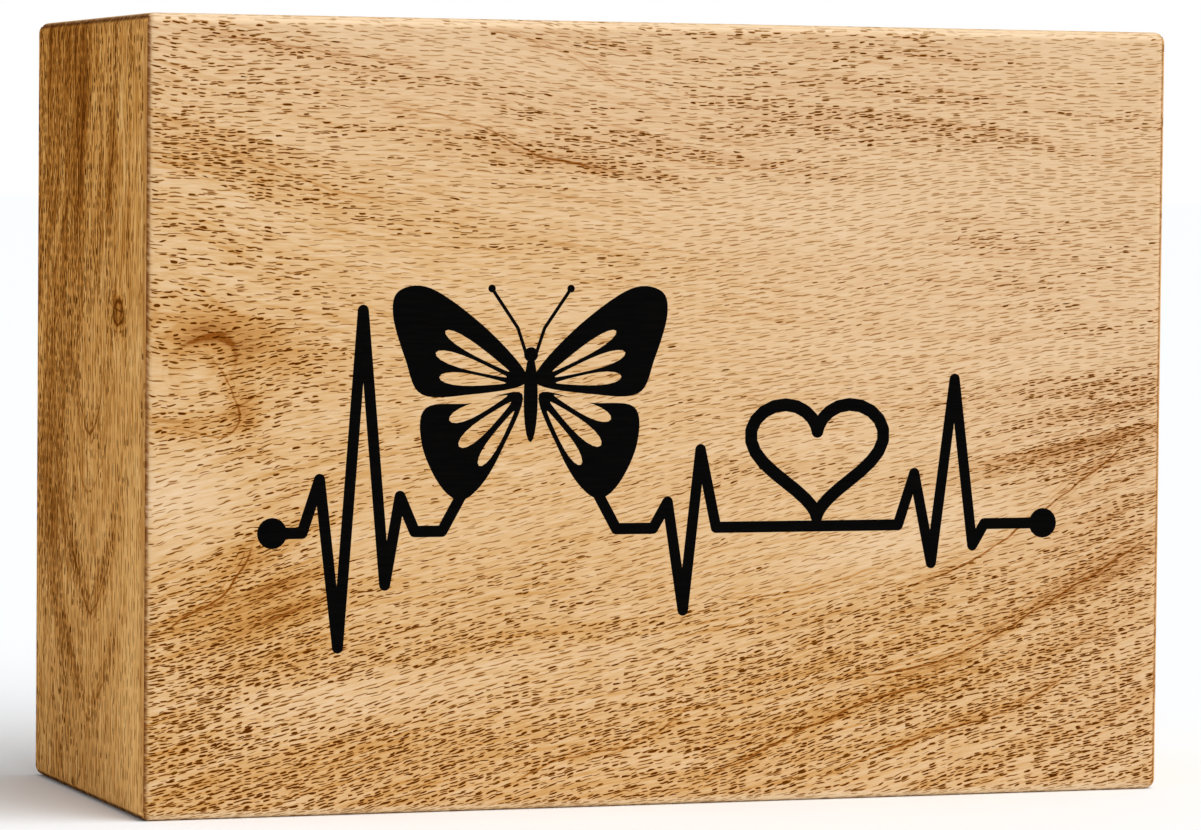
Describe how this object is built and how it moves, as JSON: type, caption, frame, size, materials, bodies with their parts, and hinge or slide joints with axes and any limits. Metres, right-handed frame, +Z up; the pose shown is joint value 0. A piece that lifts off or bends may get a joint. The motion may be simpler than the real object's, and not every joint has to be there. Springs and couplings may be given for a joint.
{
  "type": "cremation urn box",
  "caption": "Upright rectangular wooden urn box with mitred boards, softly rounded edges, a dark printed front and a screwed panel that closes it from below.",
  "frame": {"origin": "middle of the footprint, on the surface the box stands on", "axes": "+X along the width, +Y from the front to the back, +Z up; the printed front faces -Y"},
  "size_m": [0.25, 0.1, 0.18],
  "materials": {
    "face_wood": "satin",
    "side_wood": "satin",
    "base_wood": "matte",
    "print_black": "matte",
    "screw_steel": "satin"
  },
  "bodies": {
    "root": {"front_board": "face_wood", "back_board": "face_wood", "left_side_board": "side_wood", "right_side_board": "side_wood", "top_board": "face_wood", "base_panel": "base_wood", "base_screw_1": "screw_steel", "base_screw_2": "screw_steel", "base_screw_3": "screw_steel", "base_screw_4": "screw_steel"}
  },
  "joints": []
}
